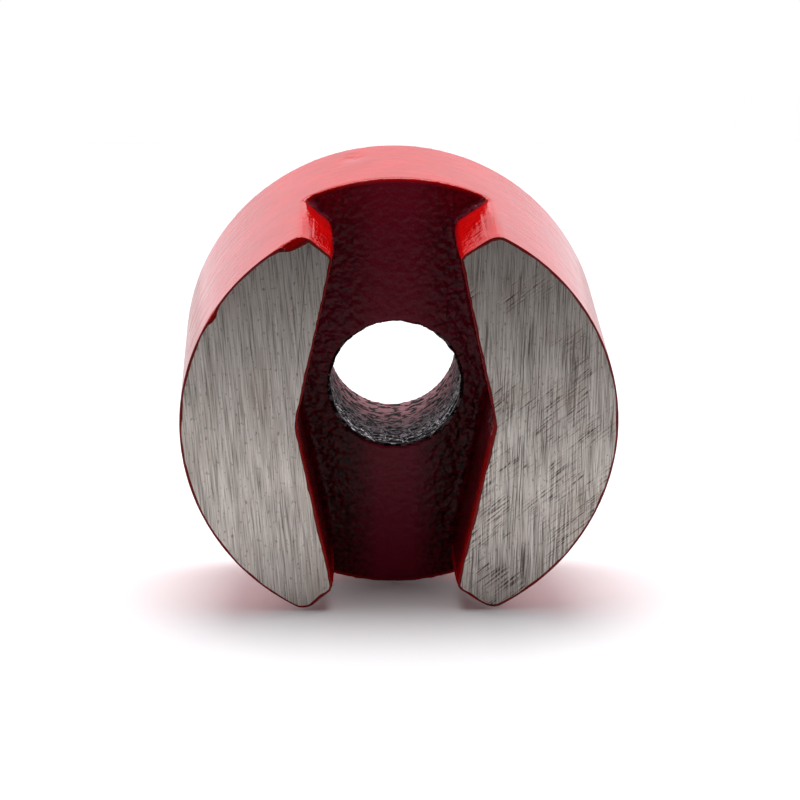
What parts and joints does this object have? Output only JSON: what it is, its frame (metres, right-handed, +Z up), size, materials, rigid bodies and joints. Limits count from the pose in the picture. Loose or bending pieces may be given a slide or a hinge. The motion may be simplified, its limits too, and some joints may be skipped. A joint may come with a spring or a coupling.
{
  "type": "lifting magnet",
  "caption": "Cast two-pole button magnet: round red-enamelled body with a waisted channel between its ground pole faces and a through bore.",
  "frame": {"origin": "on the surface that the magnet lies on, under the middle of its box; the magnet rests on the front edge of its yoke and on its two lower pole tips", "axes": "+Z up from that surface; +X across the channel, from the left pole to the right pole as seen from the front; -Y is the side that the pole faces look to, leaning 9.09 degrees down, so the bore axis points along (0, 0.987, 0.158) at the back face"},
  "size_m": [0.0254, 0.0194, 0.0263],
  "materials": {
    "alnico_casting": "as cast in the bore, ground on the pole faces",
    "red_enamel": "glossy red stoving enamel over a cast skin"
  },
  "bodies": {
    "root": {"magnet_casting": "alnico_casting", "enamel_coat": "red_enamel"}
  },
  "joints": []
}
